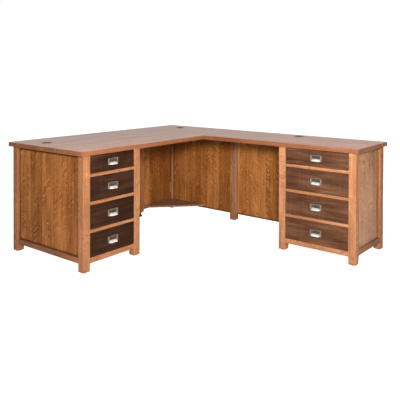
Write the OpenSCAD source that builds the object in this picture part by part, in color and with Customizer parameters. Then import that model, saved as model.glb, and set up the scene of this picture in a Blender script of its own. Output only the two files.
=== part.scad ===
// L-shaped executive desk: a main desk with a drawer pedestal at its left end, and a return with a
// second pedestal that butts against the main top's front edge at the right.
// X runs along the main desk, +Y points to its back, +Z up. The origin is on the floor, under the
// middle of the overall L. Main drawers open towards -Y and return drawers towards -X.

/* [Overall] */
// Length of the main top
main_len = 1680; // [1400:10:2020]
// Depth of the main top, front to back
main_depth = 800; // [660:10:960]
// How far the return top reaches in front of the main top
return_len = 1270; // [1050:10:1530]
// Depth of the return top
return_depth = 510; // [425:5:620]
// Height of the desk, floor to top face
desk_h = 762; // [635:1:915]
// Thickness of both tops
top_t = 30; // [22:1:40]

/* [Posts and overhangs] */
// Side of the square posts
post_w = 52; // [43:1:64]
// Top overhang at the main desk's left end
main_end_over = 26; // [15:1:40]
// Top overhang at the main desk's front
main_front_over = 18; // [12:1:40]
// Top overhang at the main desk's back
main_back_over = 17; // [10:1:40]
// Top overhang along the right-hand side of the L
side_over = 15; // [8:1:40]
// Top overhang at the return's drawer side
return_front_over = 20; // [12:1:40]
// Top overhang at the return's near end
return_end_over = 21; // [12:1:40]

/* [Pedestals] */
// Width of the main pedestal over its posts
main_ped_w = 480; // [400:5:580]
// Width of the return pedestal over its posts
return_ped_w = 578; // [480:2:700]
// Height of the top drawer's opening
top_open_h = 119; // [98:1:144]
// Thickness of the rails between the drawers
rail_t = 19; // [15:1:24]
// Height of the bottom rails' underside above the floor
base_z = 56; // [45:1:70]
// Height of the bottom rails
base_h = 32; // [26:1:40]
// Depth of the bottom rails, outside to inside
base_d = 32; // [24:1:40]
// Thickness of the panels
panel_t = 19; // [15:1:24]
// Gap between a panel's top edge and the underside of the top
panel_drop = 8; // [4:1:12]
// Height of the wooden cleats that carry the tops
cleat_h = 24; // [18:1:30]
// Height of the wooden packers behind the slides
packer_h = 60; // [50:1:72]

/* [Drawers] */
// Thickness of the drawer fronts
front_t = 20; // [16:1:25]
// How far the drawer fronts sit behind the posts' front faces
front_inset = 3; // [1:1:6]
// Gap round each drawer front
reveal = 2.5; // [2:0.5:4]
// Thickness of the drawer box's boards
box_t = 12; // [10:1:16]
// Thickness of the drawer box's bottom
bottom_t = 6; // [4:1:8]
// Room under a drawer box in its opening
box_low = 14; // [10:1:18]
// Room over a drawer box in its opening
box_high = 22; // [16:1:28]
// Gap between a top drawer's box and the cleats over it
cleat_clear = 3; // [2:1:6]
// Longest drawer slide used
slide_max = 500; // [400:50:600]
// Length step in which the slides come
slide_step = 50; // [25:25:50]
// Thickness of a drawer slide, cabinet to drawer
slide_t = 12.7; // [12.7:0.1:14]
// Height of a drawer slide
slide_h = 44; // [36:1:48]

/* [Pulls] */
// Width of a pull's plate
pull_w = 88; // [76:1:104]
// Height of a pull's plate
pull_h = 46; // [42:1:54]
// Thickness of a pull's plate
pull_t = 2.5; // [2:0.5:3]
// Width of the label window
window_w = 62; // [50:1:64]
// Height of the label window
window_h = 20; // [14:1:22]
// Width of the finger lip
lip_w = 62; // [50:1:66]
// Radius of the finger lip
lip_r = 18; // [15:0.5:20]
// Thickness of the finger lip
lip_t = 2.2; // [2:0.2:3]
// Radius of the pull screws' shanks
screw_r = 1.5; // [1.2:0.1:1.8]
// Length of the pull screws' shanks
screw_len = 14; // [10:1:16]

/* [Cable grommets] */
// Radius of the hole through the top
grommet_hole_r = 30; // [25:1:36]
// Wall of the grommet liner
grommet_wall = 3; // [2:0.5:4]
// Width of the grommet's flange round the hole
grommet_flange = 6; // [2:0.5:8]
// Height of the grommet's flange above the top
grommet_rise = 2; // [1:0.5:3]
// Left main grommet's centre in from the top's left end
grommet_end_in = 140; // [112:1:165]
// Right main grommet's centre in from the top's right end
grommet_corner_in = 162; // [140:1:190]
// Main grommets' centres in from the top's back edge
grommet_back_in = 245; // [185:1:270]
// Return grommet's centre in from the top's outer edge
grommet_side_in = 98; // [85:1:115]
// Return grommet's centre in front of the seam
grommet_along = 612; // [500:1:730]

/* [Feet] */
// Height of the post glides
glide_h = 5; // [4:1:8]
// Radius of the post glides
glide_r = 19; // [15:1:21]
// Height of the support leg's underside above the floor
leg_z = 38; // [30:1:48]
// Radius of the support leg's leveller pad
leveller_r = 21; // [17:1:24]
// Height of the leveller pad
leveller_h = 12; // [9:1:16]

/* [Corner] */
// Length of the corner shelf's sides along the panels
shelf_leg = 380; // [315:5:455]
// Thickness of the corner shelf
shelf_t = 16; // [13:1:20]
// Height of the corner shelf's upper face
shelf_z = 88; // [78:1:105]
// Width of the corner shelf's blunt tips
shelf_tip = 14; // [10:1:20]
// Depth of the cable notch beside the corner post
notch_d = 19; // [16:1:26]
// Height of the cable notch
notch_h = 102; // [85:1:125]
// Radius of the cable notch's corners
notch_r = 12; // [6:1:15]
// Height of the cable notch's lower edge above the floor
notch_z = 146; // [120:1:175]
// Length of the steel plates that join the tops
plate_len = 120; // [100:5:150]
// Width of the steel plates
plate_w = 38; // [30:1:48]
// Thickness of the steel plates
plate_t = 3; // [2:0.5:4]

/* [Hidden] */
$fn = 48;
DRAWERS = [1, 2, 3, 4];

// Gap that keeps touching pieces of one node apart
gap = 0.2;
// Clearance round a screw in its hole
screw_clear = 0.15;
// Setback of the slides behind the drawer fronts
slide_setback = 2;
// Least gap between a slide's end and the panel behind it
slide_end_gap = 5;
// How far a cut runs past the face that it starts from
past = 1;

// The overall L
total_depth = main_depth + return_len;
x_left = -main_len / 2;
x_right = main_len / 2;
main_grommets_x = [x_left + grommet_end_in, x_right - grommet_corner_in];
x_inner = x_right - return_depth;
y_back = total_depth / 2;
y_seam = y_back - main_depth;
y_near = -total_depth / 2;
top_z = desk_h - top_t;

// The posts' outer faces
main_x0 = x_left + main_end_over;
main_x1 = main_x0 + main_ped_w;
main_y0 = y_seam + main_front_over;
main_y1 = y_back - main_back_over;
outer_x = x_right - side_over;
ret_x0 = x_inner + return_front_over;
ret_y0 = y_near + return_end_over;
ret_y1 = ret_y0 + return_ped_w;

// A panel stands in the middle of the posts' width
panel_in = (post_w - panel_t) / 2;
panel_z1 = top_z - panel_drop;
base_top = base_z + base_h;
back_face = main_y1 - panel_in - panel_t;
side_face = outer_x - panel_in - panel_t;
leg_x1 = side_face - shelf_leg;

// Drawer openings
low_open_h = (top_z - base_top - top_open_h - 3 * rail_t) / 3;
function open_h(i) = i == 1 ? top_open_h : low_open_h;
function open_z(i) = i == 1 ? top_z - top_open_h : base_top + (4 - i) * (low_open_h + rail_t);
main_open_w = main_ped_w - 2 * post_w;
return_open_w = return_ped_w - 2 * post_w;
slide_y = front_inset + front_t;
slide_start = slide_y + slide_setback;
function slide_len(depth) =
    min(slide_max, slide_step * floor((depth - slide_start - panel_in - panel_t - slide_end_gap) / slide_step));
main_slide_len = slide_len(main_y1 - main_y0);
return_slide_len = slide_len(outer_x - ret_x0);
// The top drawers' boxes pass under the cleats, the others under a rail
function box_over(i) = i == 1 ? cleat_h + cleat_clear : box_high;
function box_h(i) = open_h(i) - box_low - box_over(i);
function slide_mid_z(i) = box_low + box_h(i) / 2;

// Slide profiles, from the cabinet side: each member is a channel nested in the next with play
slide_wall = 1.2;
slide_play = 1.4;
mid_h = slide_h - 2 * (slide_wall + slide_play);
inner_h = mid_h - 2 * (slide_wall + slide_play);

// Pull details
pull_ear = (pull_w - lip_w) / 4;
pull_top_bar = 5.5;
screw_head_r = 1.9 * screw_r;
screw_head_h = 1.5;

wood = "#b9763f";
wood_inside = "#c9955c";
dark_wood = "#553628";
box_wood = "#d8b98a";
nickel = "#c9c3b8";
steel = "#9aa0a6";
black_plastic = "#1d1a18";

// A box from one corner to the other
module slab(a, b) translate(a) cube(b - a);

// Puts what follows in the main pedestal's drawer frame: X across, +Y inwards, origin at the
// middle of opening i's lower edge in the plane of the posts' front faces
module in_main(i) translate([main_x0 + main_ped_w / 2, main_y0, open_z(i)]) children();

// The same for the return pedestal, whose drawers face -X
module in_return(i)
    translate([ret_x0, ret_y0 + return_ped_w / 2, open_z(i)]) rotate([0, 0, -90]) children();

// ---- Tops ----

module grommet_cut(x, y) translate([x, y, top_z - past]) cylinder(r = grommet_hole_r, h = top_t + 2 * past);

module main_top() color(wood) difference() {
    slab([x_left, y_seam + gap / 2, top_z], [x_right, y_back, desk_h]);
    for (x = main_grommets_x)
        grommet_cut(x, y_back - grommet_back_in);
}

module return_top() color(wood) difference() {
    slab([x_inner, y_near, top_z], [x_right, y_seam - gap / 2, desk_h]);
    grommet_cut(x_right - grommet_side_in, y_seam - grommet_along);
}

module grommet(x, y) translate([x, y, 0]) difference() {
    union() {
        translate([0, 0, top_z]) cylinder(r = grommet_hole_r - gap, h = top_t + grommet_rise);
        translate([0, 0, desk_h]) cylinder(r = grommet_hole_r + grommet_flange, h = grommet_rise);
    }
    translate([0, 0, top_z - past])
        cylinder(r = grommet_hole_r - grommet_wall, h = top_t + grommet_rise + 2 * past);
}

module cable_grommets() color(black_plastic) {
    for (x = main_grommets_x) grommet(x, y_back - grommet_back_in);
    grommet(x_right - grommet_side_in, y_seam - grommet_along);
}

// ---- Posts and feet ----

MAIN_POSTS = [[main_x0, main_y0], [main_x1 - post_w, main_y0], [main_x0, main_y1 - post_w],
              [main_x1 - post_w, main_y1 - post_w], [outer_x - post_w, main_y0],
              [outer_x - post_w, main_y1 - post_w]];
RETURN_POSTS = [[ret_x0, ret_y0], [ret_x0, ret_y1 - post_w], [outer_x - post_w, ret_y0],
                [outer_x - post_w, ret_y1 - post_w]];

module post(at, z0) slab([at[0], at[1], z0], [at[0] + post_w, at[1] + post_w, top_z]);

module main_posts() color(wood) {
    for (at = MAIN_POSTS) post(at, glide_h);
    post([leg_x1 - post_w, main_y1 - post_w], leg_z);
}

module return_posts() color(wood) for (at = RETURN_POSTS) post(at, glide_h);

module foot_glides() color(black_plastic) {
    for (at = concat(MAIN_POSTS, RETURN_POSTS))
        translate([at[0] + post_w / 2, at[1] + post_w / 2, 0]) cylinder(r = glide_r, h = glide_h);
    translate([leg_x1 - post_w / 2, main_y1 - post_w / 2, 0]) {
        cylinder(r = leveller_r, h = leveller_h);
        cylinder(r = leveller_r * 0.7, h = leg_z);
    }
}

// ---- Panels ----

module main_end_panel() color(wood)
    slab([main_x0 + panel_in, main_y0 + post_w, base_top],
         [main_x0 + panel_in + panel_t, main_y1 - post_w, panel_z1]);

module main_inner_panel() color(wood)
    slab([main_x1 - panel_in - panel_t, main_y0 + post_w, base_top],
         [main_x1 - panel_in, main_y1 - post_w, panel_z1]);

module main_back_panels() color(wood) {
    slab([main_x0 + post_w, back_face, base_top], [main_x1 - post_w, back_face + panel_t, panel_z1]);
    slab([main_x1, back_face, base_z], [leg_x1 - post_w, back_face + panel_t, panel_z1]);
    difference() {
        slab([leg_x1, back_face, base_z], [outer_x - post_w, back_face + panel_t, panel_z1]);
        translate([outer_x - post_w, back_face, notch_z]) cable_notch();
    }
}

// Cut into a panel's edge, with two round corners
module cable_notch() {
    slab([-notch_d, -past, notch_r], [past, panel_t + past, notch_h - notch_r]);
    slab([notch_r - notch_d, -past, 0], [past, panel_t + past, notch_h]);
    for (z = [notch_r, notch_h - notch_r]) translate([notch_r - notch_d, -past, z])
        rotate([-90, 0, 0]) cylinder(r = notch_r, h = panel_t + 2 * past);
}

module corner_end_panel() color(wood)
    slab([side_face, main_y0 + post_w, base_z], [side_face + panel_t, main_y1 - post_w, panel_z1]);

module return_modesty_panel() color(wood)
    slab([side_face, ret_y1, base_z], [side_face + panel_t, main_y0, panel_z1]);

module return_back_panel() color(wood)
    slab([side_face, ret_y0 + post_w, base_top], [side_face + panel_t, ret_y1 - post_w, panel_z1]);

module return_end_panel() color(wood)
    slab([ret_x0 + post_w, ret_y0 + panel_in, base_top],
         [outer_x - post_w, ret_y0 + panel_in + panel_t, panel_z1]);

module return_inner_panel() color(wood)
    slab([ret_x0 + post_w, ret_y1 - panel_in - panel_t, base_top],
         [outer_x - post_w, ret_y1 - panel_in, panel_z1]);

// Triangular board low in the corner, notched round the corner post
module corner_shelf() color(wood) translate([0, 0, shelf_z - shelf_t]) linear_extrude(shelf_t) polygon([
    [leg_x1, back_face], [leg_x1, back_face - shelf_tip], [side_face - shelf_tip, back_face - shelf_leg],
    [side_face, back_face - shelf_leg], [side_face, main_y1 - post_w],
    [outer_x - post_w, main_y1 - post_w], [outer_x - post_w, back_face]]);

// ---- Rails ----

// Front rails of one pedestal in its drawer frame: three dividers and the bottom rail
module front_rails(w) {
    for (i = [2, 3, 4]) translate([-w / 2, front_inset / 3, open_z(i) + low_open_h]) cube([w, post_w * 0.8, rail_t]);
    translate([-w / 2, front_inset / 3, base_z]) cube([w, base_d, base_h]);
}

// Inset of the end and back base rails from the posts' outer faces
base_in = 4;

module main_rails() color(wood) {
    translate([main_x0 + main_ped_w / 2, main_y0, 0]) front_rails(main_open_w);
    for (x = [main_x0 + base_in, main_x1 - base_in - base_d])
        slab([x, main_y0 + post_w, base_z], [x + base_d, main_y1 - post_w, base_top - gap]);
    slab([main_x0 + post_w, main_y1 - base_in - base_d, base_z],
         [main_x1 - post_w, main_y1 - base_in, base_top - gap]);
}

module return_rails() color(wood) {
    translate([ret_x0, ret_y0 + return_ped_w / 2, 0]) rotate([0, 0, -90]) front_rails(return_open_w);
    for (y = [ret_y0 + base_in, ret_y1 - base_in - base_d])
        slab([ret_x0 + post_w, y, base_z], [outer_x - post_w, y + base_d, base_top - gap]);
    slab([outer_x - base_in - base_d, ret_y0 + post_w, base_z],
         [outer_x - base_in, ret_y1 - post_w, base_top - gap]);
}

// ---- Cleats and packers ----

// Packers that bring both slides of opening i flush with the posts, over the depth between posts
module packers(i, w, depth) for (side = [-1, 1])
    translate([side * (w + panel_in) / 2, depth / 2, slide_mid_z(i)])
        cube([panel_in, depth - 2 * post_w - gap, packer_h], center = true);

module support_cleats() color(wood_inside) {
    for (i = DRAWERS) {
        in_main(i) packers(i, main_open_w, main_y1 - main_y0);
        in_return(i) packers(i, return_open_w, outer_x - ret_x0);
    }
    z0 = top_z - cleat_h;
    // under the main top: pedestal sides, pedestal back, knee-space back and far end
    for (x = [main_x0 + panel_in + panel_t, main_x1 - post_w])
        slab([x, main_y0 + post_w, z0], [x + panel_in, main_y1 - post_w, top_z]);
    for (span = [[main_x0 + post_w, main_x1 - post_w], [main_x1, leg_x1 - post_w], [leg_x1, outer_x - post_w]])
        slab([span[0] + gap, back_face - panel_in, z0], [span[1] - gap, back_face, top_z]);
    slab([side_face - panel_in, main_y0 + post_w, z0], [side_face, main_y1 - post_w - gap, top_z]);
    // under the return top: pedestal sides, pedestal back and knee-space side
    for (y = [ret_y0 + panel_in + panel_t, ret_y1 - post_w])
        slab([ret_x0 + post_w, y, z0], [outer_x - post_w, y + panel_in, top_z]);
    slab([side_face - panel_in, ret_y0 + post_w + gap, z0], [side_face, ret_y1 - post_w - gap, top_z]);
    slab([side_face - panel_in, ret_y1 + gap, z0], [side_face, main_y0 - panel_in - 2 * gap, top_z]);
    // batten that holds the return's modesty panel to the middle post
    slab([side_face - panel_in, main_y0 - panel_in - gap, base_z], [side_face, main_y0, top_z]);
}

// ---- Joint between the tops ----

// Heads of the bolts that hold a plate
plate_head_r = 6.5;
plate_head_h = 8;
// First and last plate's centre in from the inner corner and from the middle post
plate_in = 40;

module seam_plate(x) translate([x, y_seam, top_z]) {
    translate([-plate_w / 2, -plate_len / 2, -plate_t]) cube([plate_w, plate_len, plate_t]);
    for (dx = [-0.25, 0.25] * plate_w, dy = [-0.38, -0.14, 0.14, 0.38] * plate_len)
        translate([dx, dy, -plate_t - gap - plate_head_h]) cylinder(r = plate_head_r, h = plate_head_h);
}

module seam_plates() color(steel) {
    first = x_inner + plate_in;
    last = outer_x - post_w - plate_in;
    for (x = [first, (first + last) / 2, last]) seam_plate(x);
}

// ---- Drawer parts, in the drawer frame ----

// Channel of height h that opens away from its web; the web is at y0 and the flanges reach y1
module channel(h, web, reach, len) {
    wall = web < reach ? slide_wall : -slide_wall;
    slab([min(web, web + wall), 0, -h / 2], [max(web, web + wall), len, h / 2]);
    for (z = [-h / 2, h / 2 - slide_wall])
        slab([min(web, reach), 0, z], [max(web, reach), len, z + slide_wall]);
}

// Places a pair of slide members in opening i; their X counts from the post's inner face inwards
module slide_pair(i, w) for (side = [0, 1])
    mirror([side, 0, 0]) translate([-w / 2, slide_start, slide_mid_z(i)]) children();

module cabinet_member(i, w, len) slide_pair(i, w) channel(slide_h, 0, slide_t * 0.7, len);
module mid_member(i, w, len)
    slide_pair(i, w) channel(mid_h, slide_wall + slide_play / 2, slide_t * 0.8, len);
module drawer_member(i, w, len) slide_pair(i, w) channel(inner_h, slide_t, slide_t * 0.4, len);

module slide_cabinet_members() color(steel) for (i = DRAWERS) {
    in_main(i) cabinet_member(i, main_open_w, main_slide_len);
    in_return(i) cabinet_member(i, return_open_w, return_slide_len);
}

// Where the four screws of a pull stand, from the middle of the front
function screw_spots() = [for (sx = [-1, 1], sz = [-1, 1])
    [sx * (pull_w / 2 - pull_ear), sz * (pull_h / 2 - pull_ear)]];

module drawer_front(i, w) color(dark_wood) {
    h = open_h(i);
    difference() {
        slab([-w / 2 + reveal, front_inset, reveal], [w / 2 - reveal, front_inset + front_t, h - reveal]);
        for (s = screw_spots()) translate([s[0], front_inset - past, h / 2 + s[1]])
            rotate([-90, 0, 0]) cylinder(r = screw_r + screw_clear, h = screw_len + past);
    }
}

module drawer_box(i, w, len) color(box_wood) {
    x1 = w / 2 - slide_t;
    x0 = x1 - box_t;
    y0 = slide_y;
    y1 = slide_start + len;
    z0 = box_low;
    z1 = box_low + box_h(i);
    for (x = [-x1, x0]) slab([x, y0, z0], [x + box_t, y1, z1]);
    for (y = [y0, y1 - box_t]) slab([-x0 + gap, y, z0], [x0 - gap, y + box_t, z1]);
    slab([-x0 + gap, y0 + box_t + gap, z0 + bottom_t], [x0 - gap, y1 - box_t - gap, z0 + 2 * bottom_t]);
}

// Plate with a label window above a hooded finger lip that is open below
module drawer_pull(i) color(nickel) translate([0, front_inset, open_h(i) / 2]) {
    lip_z = -pull_h / 2;
    difference() {
        slab([-pull_w / 2, -pull_t, -pull_h / 2], [pull_w / 2, 0, pull_h / 2]);
        slab([-window_w / 2, -pull_t - past, pull_h / 2 - pull_top_bar - window_h],
             [window_w / 2, past, pull_h / 2 - pull_top_bar]);
        for (s = screw_spots()) translate([s[0], -pull_t - past, s[1]])
            rotate([-90, 0, 0]) cylinder(r = screw_r + screw_clear, h = pull_t + 2 * past);
    }
    // the lip: a quarter ring with a cheek at each end
    translate([-lip_w / 2, -pull_t, lip_z]) rotate([90, 0, 90]) difference() {
        linear_extrude(lip_w) lip_quarter(lip_r);
        translate([0, 0, lip_t]) linear_extrude(lip_w - 2 * lip_t)
            translate([past, -past]) lip_quarter(lip_r - lip_t + past, past);
    }
    for (s = screw_spots()) translate([s[0], 0, s[1]]) rotate([-90, 0, 0]) {
        translate([0, 0, -pull_t - gap - screw_head_h]) cylinder(r = screw_head_r, h = screw_head_h);
        translate([0, 0, -pull_t - gap - past]) cylinder(r = screw_r, h = screw_len + pull_t - past);
    }
}

// Quarter disc in the second quadrant, with its straight sides grown by extra
module lip_quarter(r, extra = 0) intersection() {
    circle(r = r);
    translate([-2 * r, -extra]) square([2 * r + extra, 2 * r]);
}

// ---- Assembly ----

main_top();
return_top();
main_posts();
return_posts();
main_end_panel();
main_inner_panel();
main_back_panels();
corner_end_panel();
corner_shelf();
main_rails();
return_rails();
return_end_panel();
return_inner_panel();
return_back_panel();
return_modesty_panel();
support_cleats();
cable_grommets();
foot_glides();
slide_cabinet_members();
seam_plates();
for (i = DRAWERS) {
    in_main(i) drawer_front(i, main_open_w);
    in_main(i) drawer_box(i, main_open_w, main_slide_len);
    in_main(i) drawer_pull(i);
    color(steel) in_main(i) drawer_member(i, main_open_w, main_slide_len);
    color(steel) in_main(i) mid_member(i, main_open_w, main_slide_len);
    in_return(i) drawer_front(i, return_open_w);
    in_return(i) drawer_box(i, return_open_w, return_slide_len);
    in_return(i) drawer_pull(i);
    color(steel) in_return(i) drawer_member(i, return_open_w, return_slide_len);
    color(steel) in_return(i) mid_member(i, return_open_w, return_slide_len);
}
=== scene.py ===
"""Corner desk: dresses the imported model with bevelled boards, label-holder pulls and finishes.

Every wooden node is remade board by board from its own solids, with eased edges and a grain that
follows each board. Pulls, cable grommets, feet and screws are built in mesh code and Geometry
Nodes. All lengths are in metres, in the model's own frame.
"""

import logging
import math
from collections.abc import Callable, Iterable, Mapping, Sequence
from dataclasses import dataclass, field
from enum import Enum

import bmesh
import bpy
from mathutils import Matrix, Vector


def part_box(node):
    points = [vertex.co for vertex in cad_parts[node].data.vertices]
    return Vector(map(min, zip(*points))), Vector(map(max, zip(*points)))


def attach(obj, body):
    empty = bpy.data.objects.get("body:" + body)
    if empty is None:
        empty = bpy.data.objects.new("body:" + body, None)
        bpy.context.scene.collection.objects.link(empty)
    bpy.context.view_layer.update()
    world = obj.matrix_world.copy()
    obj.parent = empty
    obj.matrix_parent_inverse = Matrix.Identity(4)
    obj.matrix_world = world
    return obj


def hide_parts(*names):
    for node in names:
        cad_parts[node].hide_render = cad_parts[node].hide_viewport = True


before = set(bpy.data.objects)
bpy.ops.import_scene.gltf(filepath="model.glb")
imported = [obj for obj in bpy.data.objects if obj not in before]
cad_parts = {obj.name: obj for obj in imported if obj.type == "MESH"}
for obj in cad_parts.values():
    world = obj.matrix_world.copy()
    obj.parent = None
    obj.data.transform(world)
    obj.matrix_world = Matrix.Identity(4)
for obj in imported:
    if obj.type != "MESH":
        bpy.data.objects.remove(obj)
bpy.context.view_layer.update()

LOG = logging.getLogger("corner_desk")
MM = 0.001
MERGE = 0.01 * MM
DRAWERS = (1, 2, 3, 4)
Colour = tuple[float, float, float]
Socket = bpy.types.NodeSocket


class Axis(Enum):
    """A direction of the desk's frame, used for the run of a board's grain."""

    X = 0
    Y = 1
    Z = 2


class Arm(Enum):
    """One arm of the L, by the first word of its nodes' names."""

    MAIN = "main"
    RETURN = "return"

    @property
    def inward(self) -> Vector:
        """The direction in which this arm's drawers close."""
        return Vector((0, 1, 0)) if self is Arm.MAIN else Vector((1, 0, 0))

    @property
    def across(self) -> Vector:
        """The direction along this arm's drawer fronts, to the right of someone facing them."""
        return Vector((1, 0, 0)) if self is Arm.MAIN else Vector((0, -1, 0))

    def matrix(self, origin: Vector) -> Matrix:
        """Places a drawer frame.

        Args:
            origin: where the frame's origin goes.

        Returns:
            The matrix from X across, Y inward, Z up to the desk's frame.
        """
        turn = Matrix((self.across, self.inward, Vector((0, 0, 1)))).transposed()
        return Matrix.Translation(origin) @ turn.to_4x4()


# ---- Finishes ----


def opaque(colour: Sequence[float]) -> tuple[float, ...]:
    """A colour with full alpha."""
    return (*colour, 1.0)


class Shader:
    """Builds one material's node tree with short calls."""

    def __init__(self, name: str) -> None:
        """Starts an empty material.

        Args:
            name: the material's name.
        """
        self.material = bpy.data.materials.new(name)
        self.material.use_nodes = True
        self.tree = self.material.node_tree
        self.surface = self.tree.nodes["Principled BSDF"]

    def put(self, socket: Socket, value: object) -> None:
        """Feeds a socket.

        Args:
            socket: the input to feed.
            value: another socket to link, or a plain value.
        """
        if isinstance(value, bpy.types.NodeSocket):
            self.tree.links.new(value, socket)
        elif value is not None:
            socket.default_value = value

    def node(self, kind: str, inputs: dict[str | int, object], **settings: object) -> bpy.types.Node:
        """Adds a node.

        Args:
            kind: the node's type name without its ShaderNode prefix.
            inputs: values or sockets by input name or index.
            settings: attributes of the node.

        Returns:
            The new node.
        """
        made = self.tree.nodes.new("ShaderNode" + kind)
        for key, value in settings.items():
            setattr(made, key, value)
        for key, value in inputs.items():
            self.put(made.inputs[key], value)
        return made

    def math(self, operation: str, a: object, b: object = None, c: object = None) -> Socket:
        """Adds a Math node on up to three values and returns its result."""
        return self.node("Math", {0: a, 1: b, 2: c}, operation=operation).outputs[0]

    def add(self, a: object, b: object) -> Socket:
        """The sum of two values."""
        return self.math("ADD", a, b)

    def sub(self, a: object, b: object) -> Socket:
        """The first value less the second."""
        return self.math("SUBTRACT", a, b)

    def mul(self, a: object, b: object) -> Socket:
        """The product of two values."""
        return self.math("MULTIPLY", a, b)

    def vector(self, x: object, y: object, z: object) -> Socket:
        """Joins three values into a vector."""
        return self.node("CombineXYZ", {0: x, 1: y, 2: z}).outputs[0]

    def split(self, vector: object) -> Sequence[Socket]:
        """The three parts of a vector."""
        return self.node("SeparateXYZ", {0: vector}).outputs

    def place(self) -> Socket:
        """The object coordinates."""
        return self.node("TexCoord", {}).outputs["Object"]

    def noise(self, place: Socket, scale: float, detail: float = 2.0, rough: float = 0.5) -> Socket:
        """Adds a 3-D noise at a place and returns its factor, about 0.5 on average."""
        inputs = {"Vector": place, "Scale": scale, "Detail": detail, "Roughness": rough}
        return self.node("TexNoise", inputs, noise_dimensions="3D").outputs["Fac"]

    def noise_line(self, value: Socket, scale: float, detail: float = 1.0) -> Socket:
        """Adds a 1-D noise along a value and returns its factor."""
        inputs = {"W": value, "Scale": scale, "Detail": detail}
        return self.node("TexNoise", inputs, noise_dimensions="1D").outputs["Fac"]

    def fade(self, value: object, low: float, high: float, to_low: float, to_high: float) -> Socket:
        """Maps value from low..high to to_low..to_high with a smooth step."""
        inputs = {0: value, 1: low, 2: high, 3: to_low, 4: to_high}
        return self.node("MapRange", inputs, interpolation_type="SMOOTHSTEP").outputs[0]

    def blend(self, factor: object, a: object, b: object, mode: str = "MIX") -> Socket:
        """Blends two colours and returns the result."""
        made = self.node("Mix", {0: factor}, data_type="RGBA", blend_type=mode, clamp_factor=True)
        self.put(made.inputs[6], a)
        self.put(made.inputs[7], b)
        return made.outputs[2]

    def ramp(self, factor: Socket, stops: Sequence[tuple[float, Colour]]) -> Socket:
        """Adds a colour ramp with the given stops and returns its colour."""
        made = self.node("ValToRGB", {0: factor})
        bar = made.color_ramp.elements
        while len(bar) < len(stops):
            bar.new(0.5)
        for element, (place, colour) in zip(bar, stops, strict=True):
            element.position = place
            element.color = opaque(colour)
        return made.outputs[0]

    def bump(self, height: Socket, depth: float, strength: float = 1.0) -> None:
        """Gives the surface a bump from a height of 0 to 1 and the depth of that range."""
        made = self.node("Bump", {"Height": height, "Distance": depth, "Strength": strength})
        self.put(self.surface.inputs["Normal"], made.outputs[0])

    def finish(self, **values: object) -> bpy.types.Material:
        """Sets the surface's inputs, by name with underscores for spaces.

        Returns:
            The finished material.
        """
        for key, value in values.items():
            name = key.replace("_", " ").title().replace("Ior", "IOR")
            self.put(self.surface.inputs[name], value)
        return self.material


class GrainPlace:
    """The coordinates that a board's own attributes give: along, across and through the board."""

    def __init__(self, shader: Shader) -> None:
        """Reads the attributes that Board writes.

        Args:
            shader: the material under construction.
        """
        read = {
            name: shader.node("Attribute", {}, attribute_name=name)
            for name in ("grain_local", "grain_half", "grain_seed", "grain_painted_light")
        }
        local = shader.split(read["grain_local"].outputs["Vector"])
        half = shader.split(read["grain_half"].outputs["Vector"])
        self.along, self.across, self.through = local
        self.seed = read["grain_seed"].outputs["Fac"]
        self.tone = read["grain_painted_light"].outputs["Fac"]
        inset = [
            shader.sub(half[i], shader.math("ABSOLUTE", local[i])) for i in range(3)
        ]
        low = shader.math("MINIMUM", inset[0], inset[1])
        high = shader.math("MAXIMUM", inset[0], inset[1])
        # the middle one of the three insets is the distance to the nearest edge on a face
        self.edge = shader.math("MAXIMUM", low, shader.math("MINIMUM", high, inset[2]))
        self.shader = shader

    def stretched(self, along: Socket, per_metre: float, across: float) -> Socket:
        """A place whose noise has per_metre cells to the metre along, and across cells sideways."""
        s = self.shader
        return s.vector(s.mul(along, per_metre), s.mul(self.across, across), s.mul(self.through, across))


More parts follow.
